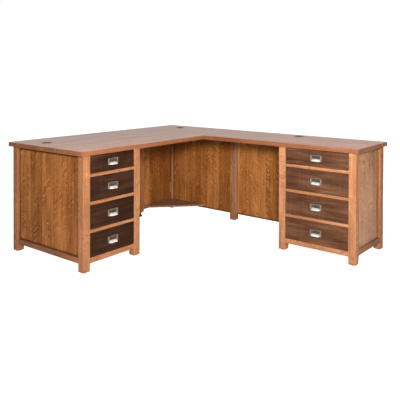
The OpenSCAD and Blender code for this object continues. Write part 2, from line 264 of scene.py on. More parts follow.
@dataclass(frozen=True)
class WoodFinish:
    """Stained and lacquered timber glued up from lamellae, with rings, streaks and figure.

    Colours are linear. The amounts say how far each feature moves the tone, where 1 is the whole
    way from the darkest to the lightest colour. Along the edges of a face a darker colour gathers by
    rim, partly stained finish built up in the joints and partly painted contact shade; upright faces
    are darkened as painted shade. The very edge is painted paler, partly wear and partly a painted
    highlight.
    """

    name: str
    dark: Colour
    middle: Colour
    light: Colour
    lamella: float = 0.13
    lamella_amount: float = 0.30
    board_amount: float = 0.14
    ring_amount: float = 0.28
    ring_pitch: float = 0.012
    streak_amount: float = 0.85
    fibre_amount: float = 0.45
    figure_amount: float = 0.35
    flame_amount: float = 0.55
    cloud_amount: float = 0.70
    worn_and_lit_edge: float = 0.30
    rim: float = 0.0
    upright_shade: float = 0.0
    roughness: float = 0.42
    lacquer: float = 0.03
    lacquer_roughness: float = 0.28
    specular: float = 0.14
    relief: float = 0.00012

    def build(self) -> bpy.types.Material:
        """Makes the material.

        Returns:
            A material that reads the boards' grain attributes.
        """
        s = Shader(self.name)
        g = GrainPlace(s)
        stained_and_shaded = opaque(tuple(part * 0.5 for part in self.dark))
        # which lamella this is, and three random numbers for it
        strip = s.add(s.math("DIVIDE", g.across, self.lamella), s.mul(g.seed, 7.3))
        number = s.math("FLOOR", strip)
        key = s.vector(number, s.mul(g.seed, 31.7), 0.5)
        hashed = s.node("TexWhiteNoise", {"Vector": key}, noise_dimensions="3D")
        chance = s.node("SeparateColor", {0: hashed.outputs["Color"]}).outputs
        centred = s.mul(s.sub(s.math("FRACT", strip), 0.5), self.lamella)
        start = s.add(s.mul(chance[0], 9.0), s.mul(g.seed, 17.0))
        along = s.add(g.along, start)

        # annual rings: distance from a pith that wanders through the lamella
        wander = s.noise(s.vector(s.mul(along, 1.6), number, g.seed), 1.0, 1.0)
        depth = s.add(g.through, s.mul(s.sub(wander, 0.36), 0.22))
        side = s.add(centred, s.mul(s.sub(chance[1], 0.5), self.lamella))
        wobble = s.noise(g.stretched(along, 8.0, 26.0), 1.0, 3.0)
        radius = s.math("SQRT", s.add(s.math("POWER", side, 2.0), s.math("POWER", depth, 2.0)))
        rings = s.add(s.math("DIVIDE", radius, self.ring_pitch), s.mul(wobble, 2.4))
        ring = s.noise_line(rings, 1.0, 2.0)

        # broad streaks, long fibres, and short dark pores along them
        streak = s.noise(g.stretched(along, 3.2, 62.0), 1.0, 3.0, 0.62)
        fibre = s.noise(g.stretched(along, 7.0, 330.0), 1.0, 3.0, 0.6)
        pore = s.fade(s.noise(g.stretched(along, 45.0, 900.0), 1.0, 1.0), 0.63, 0.74, 0.0, 1.0)

        # flecks of ray figure, and flames that sweep down from the lamella's middle, in patches
        bent = s.add(along, s.mul(s.math("ABSOLUTE", side), 1.1))
        fleck = s.noise(s.vector(s.mul(bent, 70.0), s.mul(g.across, 95.0),
                                 number), 1.0, 2.0, 0.6)
        waved = s.add(s.mul(bent, 44.0), s.mul(wobble, 6.0))
        flame = s.fade(s.noise_line(waved, 1.0, 1.0), 0.35, 0.65, -0.4, 0.4)
        patch = s.noise(s.vector(s.mul(along, 6.0), s.mul(g.across, 17.0),
                                 number), 1.0, 2.0)
        here = s.fade(patch, 0.44, 0.62, 0.0, 1.2)
        figure = s.add(s.mul(s.sub(fleck, 0.5), self.figure_amount),
                        s.mul(s.mul(flame, here), self.flame_amount))
        cloud = s.noise(g.stretched(along, 3.0, 12.0), 1.0, 3.0)

        whole = s.node("TexWhiteNoise", {"W": g.seed}, noise_dimensions="1D").outputs["Value"]
        # the board's painted light and shade shifts the whole tone
        tone: object = s.add(g.tone, 0.5)
        for amount, value, mean in (
            (self.lamella_amount, chance[2], 0.5), (self.board_amount, whole, 0.5),
            (self.ring_amount, ring, 0.5), (self.streak_amount, streak, 0.5),
            (self.fibre_amount, fibre, 0.5), (self.cloud_amount, cloud, 0.5),
            (1.0, figure, 0.0),
        ):
            tone = s.add(tone, s.mul(s.sub(value, mean), amount))
        colour = s.ramp(tone, ((0.12, self.dark), (0.5, self.middle), (0.88, self.light)))
        colour = s.blend(s.mul(pore, 0.35), colour, opaque(self.dark))
        # the very edge is painted paler, partly wear from handling and partly a painted highlight of the
        # eased edge; beside it a darker colour gathers, partly stained finish and partly painted contact
        # shade
        worn_and_lit = s.mul(s.fade(g.edge, 0.0, 0.0035, self.worn_and_lit_edge, 0.0),
                      s.fade(cloud, 0.3, 0.6, 0.4, 1.0))
        colour = s.blend(worn_and_lit, colour, opaque(self.light))
        # upright faces are painted darker than level ones: painted shade
        if self.upright_shade:
            facing = s.split(s.node("NewGeometry", {}).outputs["Normal"])[2]
            upright = s.fade(s.math("ABSOLUTE", facing), 0.3, 0.8, self.upright_shade, 0.0)
            colour = s.blend(upright, colour, stained_and_shaded)
        # along each face's edges a darker colour: partly stained finish built up in the joints, partly
        # painted contact shade where panels meet posts and top
        if self.rim:
            rim_stained_and_shaded = s.fade(g.edge, 0.004, 0.020, self.rim, 0.0)
            colour = s.blend(rim_stained_and_shaded, colour, stained_and_shaded)
        rough = s.add(self.roughness - 0.06, s.mul(fibre, 0.12))
        s.bump(s.sub(fibre, s.mul(pore, 0.6)), self.relief)
        return s.finish(base_color=colour, roughness=rough, specular_ior_level=self.specular,
                        coat_weight=self.lacquer, coat_roughness=self.lacquer_roughness)


@dataclass(frozen=True)
class SawnFinish:
    """A dark-stained rough-sawn face, with upright saw marks across a lengthwise grain, its raised marks
    and very edge painted paler as a painted highlight.
    """

    name: str
    dark: Colour
    middle: Colour
    pale_and_highlight: Colour
    mark_pitch: float = 0.0085
    mark_amount: float = 0.32
    mark_depth: float = 0.0006
    roughness: float = 0.62
    specular: float = 0.2

    def build(self) -> bpy.types.Material:
        """Makes the material.

        Returns:
            A material that reads the boards' grain attributes.
        """
        s = Shader(self.name)
        g = GrainPlace(s)
        along = s.add(g.along, s.mul(g.seed, 13.0))

        lean = s.noise(g.stretched(along, 2.0, 5.0), 1.0)
        # saw marks run across the grain, a little slanted, and come and go
        where = s.add(along, s.mul(s.mul(g.across, 0.10), lean))
        mark = s.noise_line(s.math("DIVIDE", where, self.mark_pitch), 1.0, 2.0)
        patch = s.noise(g.stretched(along, 7.0, 13.0), 1.0, 3.0)
        grain = s.noise(g.stretched(along, 5.0, 170.0), 1.0, 4.0, 0.6)
        streak = s.noise(g.stretched(along, 4.0, 48.0), 1.0, 3.0, 0.6)
        cloud = s.noise(g.stretched(along, 3.5, 14.0), 1.0, 2.0)
        tone = s.add(s.mul(grain, 0.3), s.mul(cloud, 0.3))
        tone = s.add(tone, s.mul(streak, 0.4))
        colour = s.ramp(tone, ((0.36, self.dark), (0.5, self.middle), (0.68, self.pale_and_highlight)))
        # raised marks are painted paler, partly a brushed pale finish and partly a painted highlight of
        # raking light
        raised = s.mul(s.fade(mark, 0.48, 0.68, 0.0, self.mark_amount),
                        s.fade(patch, 0.4, 0.62, 0.05, 1.0))
        colour = s.blend(raised, colour, opaque(self.pale_and_highlight))
        # the very edge is painted paler too: partly wear, partly a painted highlight
        colour = s.blend(s.fade(g.edge, 0.0, 0.003, 0.3, 0.0), colour, opaque(self.pale_and_highlight))
        height = s.add(s.mul(mark, s.fade(patch, 0.3, 0.6, 0.4, 1.0)),
                        s.mul(grain, 0.5))
        s.bump(height, self.mark_depth)
        rough = s.add(self.roughness - 0.1, s.mul(grain, 0.2))
        return s.finish(base_color=colour, roughness=rough, specular_ior_level=self.specular)


@dataclass(frozen=True)
class MetalFinish:
    """Metal with fine scratches and cloudy tarnish."""

    name: str
    bright: Colour
    tarnished: Colour
    roughness: float = 0.3
    tarnish_scale: float = 60.0
    scratch: float = 0.00004
    metallic: float = 0.4

    def build(self) -> bpy.types.Material:
        """Makes the material.

        Returns:
            A metallic material on object coordinates.
        """
        s = Shader(self.name)
        place = s.place()
        cloud = s.noise(place, self.tarnish_scale, 4.0, 0.6)
        speck = s.noise(place, self.tarnish_scale * 14, 2.0)
        colour = s.ramp(cloud, ((0.38, self.tarnished), (0.6, self.bright)))
        rough = s.add(self.roughness - 0.08, s.mul(speck, 0.16))
        s.bump(speck, self.scratch)
        return s.finish(base_color=colour, roughness=rough, metallic=self.metallic)


@dataclass(frozen=True)
class TwoStepMetal:
    """Dark steel above a level and paler steel below it, as a plate and the bolts under it; the plate's
    near-black is partly blackened steel and partly painted shade.
    """

    name: str
    above: Colour
    below: Colour
    level: float

    def build(self) -> bpy.types.Material:
        """Makes the material.

        Returns:
            A metallic material on object coordinates.
        """
        s = Shader(self.name)
        place = s.place()
        height = s.split(place)[2]
        speck = s.noise(place, 500.0, 2.0)
        low = s.math("LESS_THAN", height, self.level)
        colour = s.blend(low, opaque(self.above), opaque(self.below))
        rough = s.sub(s.add(0.5, s.mul(speck, 0.1)), s.mul(low, 0.15))
        return s.finish(base_color=colour, roughness=rough, metallic=1.0)


@dataclass(frozen=True)
class PlasticFinish:
    """Moulded plastic with a fine even texture."""

    name: str
    colour: Colour
    roughness: float = 0.5

    def build(self) -> bpy.types.Material:
        """Makes the material.

        Returns:
            A plastic material on object coordinates.
        """
        s = Shader(self.name)
        place = s.place()
        pebble = s.noise(place, 1400.0, 2.0)
        dust = s.noise(place, 90.0, 3.0)
        lifted = tuple(3.0 * c + 0.01 for c in self.colour)
        colour = s.blend(s.fade(dust, 0.45, 0.75, 0.0, 0.5), opaque(self.colour), opaque(lifted))
        rough = s.add(self.roughness - 0.05, s.mul(dust, 0.1))
        s.bump(pebble, 0.0001)
        return s.finish(base_color=colour, roughness=rough)


# the tops' upright faces are painted darker as painted shade
TOP_WOOD = WoodFinish(
    "honey_top_boards", (0.207, 0.0689, 0.0264), (0.415, 0.152, 0.0661), (0.622, 0.273, 0.132),
    lamella=0.085, lamella_amount=0.2, flame_amount=0.2, specular=0.42, roughness=0.36,
    lacquer=0.25, lacquer_roughness=0.24, upright_shade=0.7,
)
FRAME_WOOD = WoodFinish(
    "honey_frame_timber", (0.125, 0.043, 0.0165), (0.262, 0.104, 0.0413), (0.394, 0.19, 0.0928),
    lamella=0.3, lamella_amount=0.0, flame_amount=0.3, specular=0.3,
)
# panels darken along their edges: partly finish built up in the joints, partly painted contact shade
PANEL_WOOD = WoodFinish(
    "honey_panel_boards", (0.076, 0.0208, 0.0043), (0.204, 0.0672, 0.0142), (0.376, 0.152, 0.0456),
    rim=0.8,
)
# the return's end panel: a paler, bluer copy of the panel finish, a painted sheen in place of the right
# lamp's reflection, with more lacquer
PAINTED_SHEEN_WOOD = WoodFinish(
    "painted_sheen_panel_boards", (0.10, 0.034, 0.0115), (0.255, 0.1, 0.034), (0.45, 0.21, 0.082),
    lacquer=0.45, specular=0.6, rim=0.5,
)
# the shelf's edges are painted much paler: partly wear, partly a painted highlight
SHELF_WOOD = WoodFinish(
    "plain_shelf_board", (0.12, 0.056, 0.030), (0.20, 0.105, 0.060), (0.32, 0.19, 0.12),
    worn_and_lit_edge=0.8,
)
INNER_WOOD = WoodFinish(
    "plain_inner_timber", (0.14, 0.07, 0.038), (0.20, 0.105, 0.06), (0.29, 0.165, 0.1),
    lamella=0.3, lamella_amount=0.0, figure_amount=0.1, flame_amount=0.1, lacquer=0.0, roughness=0.6,
)
BOX_WOOD = WoodFinish(
    "pale_drawer_box_wood", (0.30, 0.18, 0.095), (0.42, 0.28, 0.16), (0.52, 0.38, 0.24),
    lamella=0.09, figure_amount=0.15, flame_amount=0.1, ring_amount=0.3, streak_amount=0.3, lacquer=0.15,
)
# one sawn finish in two copies: the main arm's fronts darker as painted shade and the return's paler as
# painted light, for the light on each arm
SHADED_MAIN_FRONTS = SawnFinish(
    "deep_sawn_drawer_fronts", (0.0103, 0.0041, 0.0022), (0.0232, 0.0088, 0.0046), (0.054, 0.0235, 0.013),
    specular=0.1,
)
LIT_RETURN_FRONTS = SawnFinish(
    "brown_sawn_drawer_fronts", (0.0255, 0.0095, 0.0041), (0.062, 0.0244, 0.0112), (0.139, 0.0645, 0.0335),
)
# the pull's cast nickel in two copies: the lip paler as a painted highlight, the plate and screws darker as
# painted shade
LIT_LIP_NICKEL = MetalFinish("lit_aged_nickel", (0.72, 0.68, 0.62), (0.52, 0.47, 0.41), roughness=0.42)
SHADED_PLATE_NICKEL = MetalFinish("shaded_nickel_plate", (0.215, 0.19, 0.16), (0.13, 0.112, 0.092), roughness=0.5)
DARK_NICKEL = MetalFinish("shaded_nickel_back", (0.075, 0.062, 0.047), (0.045, 0.036, 0.027), roughness=0.6)
# the seam plates are near-black: partly blackened steel, partly painted shade under the top
SEAM_STEEL = TwoStepMetal("shaded_plate_pale_bolts", (0.035, 0.026, 0.02), (0.16, 0.14, 0.12), level=0.7275)
ZINC = MetalFinish("zinc_plated_steel", (0.36, 0.365, 0.37), (0.25, 0.255, 0.265), roughness=0.34)
BLACK = PlasticFinish("matt_black_plastic", (0.016, 0.014, 0.013))
BROWN = PlasticFinish("brown_port_liner", (0.075, 0.042, 0.030), roughness=0.35)
FINISHES = {
    "top": TOP_WOOD, "frame": FRAME_WOOD, "panel": PANEL_WOOD, "sheen": PAINTED_SHEEN_WOOD, "shelf": SHELF_WOOD,
    "inner": INNER_WOOD, "box": BOX_WOOD, "main_front": SHADED_MAIN_FRONTS,
    "return_front": LIT_RETURN_FRONTS, "nickel": LIT_LIP_NICKEL, "shaded_plate": SHADED_PLATE_NICKEL,
    "backing": DARK_NICKEL, "zinc": ZINC, "black": BLACK, "brown": BROWN, "plate": SEAM_STEEL,
}


# ---- Small makers ----


def new_object(name: str, mesh: bpy.types.Mesh, material: bpy.types.Material | None) -> bpy.types.Object:
    """Links a mesh into the scene as an object at the origin.

    Args:
        name: the piece's name.
        mesh: its mesh.
        material: its only material, or None if the mesh has its own.

    Returns:
        The new object.
    """
    piece = bpy.data.objects.new(name, mesh)
    bpy.context.scene.collection.objects.link(piece)
    if material is not None:
        mesh.materials.clear()
        mesh.materials.append(material)
    return piece


def hand_in(piece: bpy.types.Object, body: str, slot: str, replaced: Iterable[str] = ()) -> None:
    """Parents a finished piece to its body, hides the CAD nodes that it stands for, and logs it.

    Args:
        piece: the finished piece.
        body: the body that it rides on.
        slot: not used.
        replaced: CAD nodes that it stands for.
    """
    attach(piece, body)
    names = list(replaced)
    if names:
        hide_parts(*names)
    LOG.info("%s: %d faces on %s", piece.name, len(piece.data.polygons), body)


def soften(mesh: bpy.types.Mesh, angle: float = 35.0) -> None:
    """Shades a mesh smooth, except over edges sharper than an angle in degrees."""
    mesh.polygons.foreach_set("use_smooth", [True] * len(mesh.polygons))
    mesh.set_sharp_from_angle(angle=math.radians(angle))


def mesh_of(shell: bmesh.types.BMesh, name: str) -> bpy.types.Mesh:
    """Turns an edited mesh into a plain one with its faces outwards, and frees it."""
    bmesh.ops.recalc_face_normals(shell, faces=shell.faces)
    mesh = bpy.data.meshes.new(name)
    shell.to_mesh(mesh)
    shell.free()
    return mesh


def lathe(outline: Sequence[tuple[float, float]], steps: int = 48) -> bpy.types.Mesh:
    """Turns a closed outline round the Z axis.

    Args:
        outline: (radius, height) points of a closed loop, radii over 0.
        steps: faces round the turn.

    Returns:
        A closed mesh with its faces outwards.
    """
    count = len(outline)
    verts = []
    for step in range(steps):
        turn = 2 * math.pi * step / steps
        verts += [(r * math.cos(turn), r * math.sin(turn), z) for r, z in outline]
    faces = [
        (a * count + b, a * count + (b + 1) % count, (a + 1) % steps * count + (b + 1) % count,
         (a + 1) % steps * count + b)
        for a in range(steps)
        for b in range(count)
    ]
    mesh = bpy.data.meshes.new("turned")
    mesh.from_pydata(verts, [], faces)
    shell = bmesh.new()
    shell.from_mesh(mesh)
    bmesh.ops.recalc_face_normals(shell, faces=shell.faces)
    shell.to_mesh(mesh)
    shell.free()
    soften(mesh)
    return mesh


def disc_lathe(outline: Sequence[tuple[float, float]], steps: int = 32) -> bpy.types.Mesh:
    """Turns an open outline whose two ends are on the axis.

    Args:
        outline: (radius, height) points, the first and last with radius 0.
        steps: faces round the turn.

    Returns:
        A closed mesh with its faces outwards.
    """
    shell = bmesh.new()
    rings = []
    for radius, height in outline:
        turns = [2 * math.pi * t / steps for t in range(steps if radius > 0 else 1)]
        rings.append([shell.verts.new((radius * math.cos(a), radius * math.sin(a), height)) for a in turns])
    for lower, upper in zip(rings, rings[1:]):
        for t in range(steps):
            corners = [lower[t % len(lower)], lower[(t + 1) % len(lower)], upper[(t + 1) % len(upper)],
                       upper[t % len(upper)]]
            shell.faces.new(list(dict.fromkeys(corners)))
    mesh = mesh_of(shell, "turned")
    soften(mesh)
    return mesh


class Scatter:
    """Geometry Nodes that put copies of one mesh on a set of points, each turned by a vector."""

    def __init__(self) -> None:
        """Builds the tree once: points and part in, realised copies with a material out."""
        tree = bpy.data.node_groups.new("copies_on_points", "GeometryNodeTree")
        face = tree.interface
        for name, kind in (("Geometry", "Geometry"), ("Part", "Object"), ("Turn", "Vector"),
                           ("Spin", "Float"), ("Finish", "Material")):
            face.new_socket(name, in_out="INPUT", socket_type="NodeSocket" + kind)
        face.new_socket("Geometry", in_out="OUTPUT", socket_type="NodeSocketGeometry")
        self.tree = tree
        new = tree.nodes.new
        given, out = new("NodeGroupInput"), new("NodeGroupOutput")
        part, copies = new("GeometryNodeObjectInfo"), new("GeometryNodeInstanceOnPoints")
        chance = new("FunctionNodeRandomValue")
        chance.data_type = "FLOAT_VECTOR"
        chance.inputs["Seed"].default_value = 7
        own, real = new("GeometryNodeRotateInstances"), new("GeometryNodeRealizeInstances")
        paint = new("GeometryNodeSetMaterial")
        # a random spin of each copy round its own axis, between minus and plus half of Spin
        centred, only_z, scale = (new("ShaderNodeVectorMath") for _ in range(3))
        centred.operation, only_z.operation, scale.operation = "SUBTRACT", "MULTIPLY", "SCALE"
        centred.inputs[1].default_value = (0.5, 0.5, 0.5)
        only_z.inputs[1].default_value = (0, 0, 1)
        for source, output, target, socket in (
            (given, "Part", part, "Object"), (given, "Geometry", copies, "Points"),
            (part, "Geometry", copies, "Instance"), (given, "Turn", copies, "Rotation"),
            (chance, "Value", centred, 0), (centred, 0, only_z, 0), (only_z, 0, scale, 0),
            (given, "Spin", scale, "Scale"), (copies, "Instances", own, "Instances"),
            (scale, 0, own, "Rotation"), (own, "Instances", real, "Geometry"),
            (real, "Geometry", paint, "Geometry"), (given, "Finish", paint, "Material"),
            (paint, "Geometry", out, 0),
        ):
            tree.links.new(source.outputs[output], target.inputs[socket])

    def copies(
        self, name: str, part: bpy.types.Mesh, spots: Sequence[Vector], material: bpy.types.Material,
        turn: Vector = Vector(), spin: float = 0.0,
    ) -> bpy.types.Object:
        """Copies a part onto points.

        Args:
            name: the new piece's name.
            part: the mesh to copy, around its own origin.
            spots: where the copies go.
            material: their finish.
            turn: Euler angles for every copy, in radians.
            spin: range of each copy's own random turn about its axis, in radians.

        Returns:
            One plain mesh object with all the copies.
        """
        seedling = new_object(name + "_part", part, material)
        cloud = bpy.data.meshes.new(name + "_points")
        cloud.from_pydata([tuple(spot) for spot in spots], [], [])
        holder = new_object(name + "_holder", cloud, None)
        modifier = holder.modifiers.new("copies", "NODES")
        modifier.node_group = self.tree
        given = {"Part": seedling, "Turn": turn, "Spin": spin, "Finish": material}
        for item in self.tree.interface.items_tree:
            if item.in_out == "INPUT" and item.name in given:
                modifier[item.identifier] = given[item.name]
        holder.update_tag()
        bpy.context.view_layer.update()
        ready = holder.evaluated_get(bpy.context.evaluated_depsgraph_get())
        mesh = bpy.data.meshes.new_from_object(ready)
        bpy.data.objects.remove(holder)
        bpy.data.objects.remove(seedling)
        soften(mesh)
        return new_object(name, mesh, material)


# ---- Timber ----


@dataclass
class Timber:
    """Remakes a wooden node's boards with eased edges and a grain of their own."""

    node: str
    body: str
    slot: str
    material: bpy.types.Material
    ease: float = 1.5 * MM
    grain: Axis | None = None
    shortest_cut: float = 12 * MM
    flat: float = 1.0
    crease: float = 50.0
    # a board's tone shift, painted in place of light and shade
    painted_light_and_shade: Callable[[Vector, Vector], float] = lambda low, high: 0.0

    def islands(self) -> list[bmesh.types.BMesh]:
        """Splits a merged copy of the node into its separate boards."""
        whole = bmesh.new()
        whole.from_mesh(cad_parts[self.node].data)
        bmesh.ops.remove_doubles(whole, verts=whole.verts, dist=MERGE)
        whole.verts.index_update()
        seen: set[int] = set()
        boards = []
        for start in whole.verts:
            if start.index in seen:
                continue
            group = self.reach(start)
            seen |= {v.index for v in group}
            boards.append(self.copy_of(group))
        whole.free()
        return boards

    @staticmethod
    def reach(start: bmesh.types.BMVert) -> list[bmesh.types.BMVert]:
        """All vertices joined to one by edges."""
        found, queue = {start.index: start}, [start]
        while queue:
            for edge in queue.pop().link_edges:
                for vert in edge.verts:
                    if vert.index not in found:
                        found[vert.index] = vert
                        queue.append(vert)
        return list(found.values())

    @staticmethod
    def copy_of(group: list[bmesh.types.BMVert]) -> bmesh.types.BMesh:
        """A new mesh of the faces on some vertices."""
        board = bmesh.new()
        twin = {v.index: board.verts.new(v.co) for v in group}
        faces = {f for v in group for f in v.link_faces}
        for face in sorted(faces, key=lambda f: f.index):
            board.faces.new([twin[v.index] for v in face.verts])
        board.normal_update()
        return board

    def shape(self, board: bmesh.types.BMesh, number: int) -> None:
        """Eases a board's edges and writes its grain.

        Args:
            board: the board, changed in place.
            number: its place in the node, which seeds its look.
        """
        bmesh.ops.dissolve_limit(board, angle_limit=math.radians(self.flat), verts=board.verts,
                                 edges=board.edges)
        sharp = [
            e for e in board.edges
            if len(e.link_faces) == 2 and e.calc_face_angle(0.0) > math.radians(self.crease)
            and e.calc_length() > self.shortest_cut
        ]
        bmesh.ops.bevel(board, geom=sharp, offset=self.ease, segments=2, profile=0.5, affect="EDGES",
                        clamp_overlap=True)
        low = Vector(min(v.co[i] for v in board.verts) for i in range(3))
        high = Vector(max(v.co[i] for v in board.verts) for i in range(3))
        centre, half = (low + high) / 2, (high - low) / 2
        order = sorted(range(3), key=lambda i: -half[i])
        if self.grain is not None:
            order.remove(self.grain.value)
            order.insert(0, self.grain.value)
        local = board.verts.layers.float_vector.new("grain_local")
        span = board.verts.layers.float_vector.new("grain_half")
        seed = board.verts.layers.float.new("grain_seed")
        # the painted light and shade goes onto the board as an attribute
        tone = board.verts.layers.float.new("grain_painted_light")
        chance, painted_light_and_shade = seed_of(self.node, number), self.painted_light_and_shade(low, high)
        for vert in board.verts:
            place = vert.co - centre
            vert[local] = Vector(place[i] for i in order)
            vert[span] = Vector(half[i] for i in order)
            vert[seed] = chance
            vert[tone] = painted_light_and_shade

    def make(self) -> bpy.types.Object:
        """Builds the piece and hands it in.

        Returns:
            The new piece, which stands for the CAD node.
        """
        mesh = bpy.data.meshes.new(self.node + "_boards")
        joined = bmesh.new()
        for number, board in enumerate(self.islands()):
            self.shape(board, number)
            part = bpy.data.meshes.new("board")
            board.to_mesh(part)
            board.free()
            joined.from_mesh(part)
            bpy.data.meshes.remove(part)
        joined.to_mesh(mesh)
        joined.free()
        piece = new_object(self.node + "_timber", mesh, self.material)
        hand_in(piece, self.body, self.slot, [self.node])
        return piece


def seed_of(name: str, number: int) -> float:
    """A fixed number from 0 to 1 for a board, from its node's name and its place there."""
    total = sum((i + 3) * ord(letter) for i, letter in enumerate(name)) + 97 * number
    return math.modf(abs(math.sin(total * 12.9898) * 43758.5453))[0]


# ---- Drawer pulls ----


@dataclass
class LabelPull:
    """A cast label-holder pull: a plate with ears, a window with a back, and a hooded finger lip."""

    nickel: bpy.types.Material
    shaded_plate: bpy.types.Material
    backing: bpy.types.Material
    copier: Scatter
    width: float = 88 * MM
    height: float = 46 * MM
    thickness: float = 2.5 * MM
    window_width: float = 62 * MM
    window_height: float = 20 * MM
    top_bar: float = 5.5 * MM
    ear_radius: float = 5.2 * MM
    lip_width: float = 64 * MM
    lip_depth: float = 17.5 * MM
    lip_height: float = 15 * MM
    lip_rise: float = 3.5 * MM
    lip_wall: float = 2.0 * MM
    edge_round: float = 0.6 * MM
    screw_spin: float = 2.4
    screw_spread: Vector = field(default_factory=lambda: Vector((37.5, 0, 16.5)) * MM)

    def plate_outline(self) -> list[tuple[float, float]]:
        """The plate's outer outline: a rectangle whose corners swell into round ears."""
        x, z, r = self.screw_spread.x, self.screw_spread.z, self.ear_radius
        waist_x, waist_z = self.width / 2 - 1.6 * MM, self.height / 2 - 1.2 * MM
        points = []
        for sx, sz, start in ((1, 1, -25), (-1, 1, 65), (-1, -1, 155), (1, -1, 245)):
            for step in range(10):
                angle = math.radians(start + 140 * step / 9)
                points.append((sx * x + r * math.cos(angle), sz * z + r * math.sin(angle)))
            middle = (sx * x * 0.5, sz * waist_z) if sx * sz > 0 else (sx * waist_x, sz * z * 0.3)
            points.append(middle)
        return points

    def plate(self) -> bpy.types.Mesh:
        """The plate with its window, rounded over at every edge."""
        curve = bpy.data.curves.new("plate", "CURVE")
        curve.dimensions = "2D"
        curve.fill_mode = "BOTH"
        curve.extrude = self.thickness / 2 - self.edge_round
        curve.bevel_depth = self.edge_round
        curve.bevel_resolution = 2
        curve.offset = -self.edge_round
        top = self.height / 2 - self.top_bar
        w, low = self.window_width / 2, top - self.window_height
        window = rounded_rectangle(-w, low, w, top, 1.5 * MM)
        for outline in (self.plate_outline(), window):
            spline = curve.splines.new("POLY")
            spline.points.add(len(outline) - 1)
            for point, (x, z) in zip(spline.points, outline, strict=True):
                point.co = (x, z, 0, 1)
            spline.use_cyclic_u = True
        holder = bpy.data.objects.new("plate", curve)
        bpy.context.scene.collection.objects.link(holder)
        bpy.context.view_layer.update()
        mesh = bpy.data.meshes.new_from_object(holder.evaluated_get(bpy.context.evaluated_depsgraph_get()))
        bpy.data.objects.remove(holder)
        shell = bmesh.new()
        shell.from_mesh(mesh)
        bmesh.ops.remove_doubles(shell, verts=shell.verts, dist=MERGE)
        bmesh.ops.recalc_face_normals(shell, faces=shell.faces)
        # from the curve's plane to the drawer's: height up, and the thickness in front of the wood
        turn = Matrix(((1, 0, 0, 0), (0, 0, 1, -self.thickness / 2), (0, 1, 0, 0), (0, 0, 0, 1)))
        bmesh.ops.transform(shell, matrix=turn, verts=shell.verts)
        bmesh.ops.recalc_face_normals(shell, faces=shell.faces)
        shell.to_mesh(mesh)
        shell.free()
        return mesh

    def back(self) -> bpy.types.Mesh:
        """A thin sheet behind the window, bent a little where a label would slide in."""
        shell = bmesh.new()
        columns, w = 13, self.window_width / 2 + 1.0 * MM
        top = self.height / 2 - self.top_bar + 1.0 * MM
        low = top - self.window_height - 2.0 * MM
        for front in (True, False):
            y = -0.9 * MM if front else -0.2 * MM
            grid = []
            shares = [c / (columns - 1) for c in range(columns)]
            for z in (low, top):
                grid.append([
                    shell.verts.new((w * (2 * u - 1), y - 0.25 * MM * math.sin(math.pi * u), z))
                    for u in shares
                ])
            for c in range(columns - 1):
                shell.faces.new((grid[0][c], grid[0][c + 1], grid[1][c + 1], grid[1][c]))
        boundary = [e for e in shell.edges if e.is_boundary]
        bmesh.ops.bridge_loops(shell, edges=boundary)
        return mesh_of(shell, "back")

    def lip_point(self, u: float, v: float, inner: float) -> Vector:
        """A point of the hood.

        Args:
            u: across, from -1 to 1.
            v: from 0 at the open lower rim to 1 at the plate.
            inner: how far inside the outer skin.

        Returns:
            The point in the pull's own frame.
        """
        closing = (1 - abs(u) ** 5) ** 0.45
        sizes = (self.lip_depth, self.lip_height)
        depth, height = (max(size * closing - inner, 0.02 * MM) for size in sizes)
        angle = math.pi / 2 * v
        half = self.lip_width / 2 - inner
        # the rim flares a little, so fingers find it
        flare = 1.0 * MM * (1 - v) ** 3 * closing
        bottom = self.lip_rise - self.height / 2
        return Vector((half * u, -self.thickness + 0.3 * MM - depth * math.cos(angle) - flare,
                       bottom + height * math.sin(angle)))

    def lip(self) -> bpy.types.Mesh:
        """The hooded finger lip: outer and inner skins joined at the rim and at the plate."""
        columns, rows = 41, 11
        shell = bmesh.new()
        skins = []
        for inner in (0.0, self.lip_wall):
            skins.append([
                [
                    shell.verts.new(self.lip_point(2 * c / (columns - 1) - 1, r / (rows - 1), inner))
                    for c in range(columns)
                ]
                for r in range(rows)
            ])
        for skin in skins:
            for r in range(rows - 1):
                for c in range(columns - 1):
                    shell.faces.new((skin[r][c], skin[r][c + 1], skin[r + 1][c + 1], skin[r + 1][c]))
        outer, inner_skin = skins
        for c in range(columns - 1):
            shell.faces.new((outer[0][c], outer[0][c + 1], inner_skin[0][c + 1], inner_skin[0][c]))
            shell.faces.new((outer[-1][c], outer[-1][c + 1], inner_skin[-1][c + 1], inner_skin[-1][c]))
        for r in range(rows - 1):
            for c in (0, columns - 1):
                shell.faces.new((outer[r][c], outer[r + 1][c], inner_skin[r + 1][c], inner_skin[r][c]))
        return mesh_of(shell, "lip")

    def screw(self) -> bpy.types.Mesh:
        """A domed screw head with its slot, and the shank behind it."""
        r = 2.9 * MM
        head = [(0, -1.5), (0.35 * r / MM, -1.46), (0.7 * r / MM, -1.25), (0.93 * r / MM, -0.75),
                (r / MM, -0.1), (r / MM, 0.0), (1.5, 0.0), (1.5, 11.0), (0, 12.0)]
        mesh = disc_lathe([(a * MM, b * MM) for a, b in head], 24)
        shell = bmesh.new()
        shell.from_mesh(mesh)
        # the slot: the dome's middle strip is pressed in
        for vert in shell.verts:
            if vert.co.z < -1.2 * MM and abs(vert.co.y) < 0.45 * MM:
                vert.co.z += 0.5 * MM
        shell.to_mesh(mesh)
        shell.free()
        return mesh

    def make(self, arm: Arm, number: int) -> None:
        """Builds one pull on its drawer.

        Args:
            arm: the desk's arm.
            number: the drawer, from the top.
        """
        body = f"{arm.value}_drawer_{number}"
        node = body + "_pull"
        low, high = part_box(body + "_front")
        face = (low + high) / 2 - arm.inward * ((high - low).dot(arm.inward) / 2)
        place = arm.matrix(face)
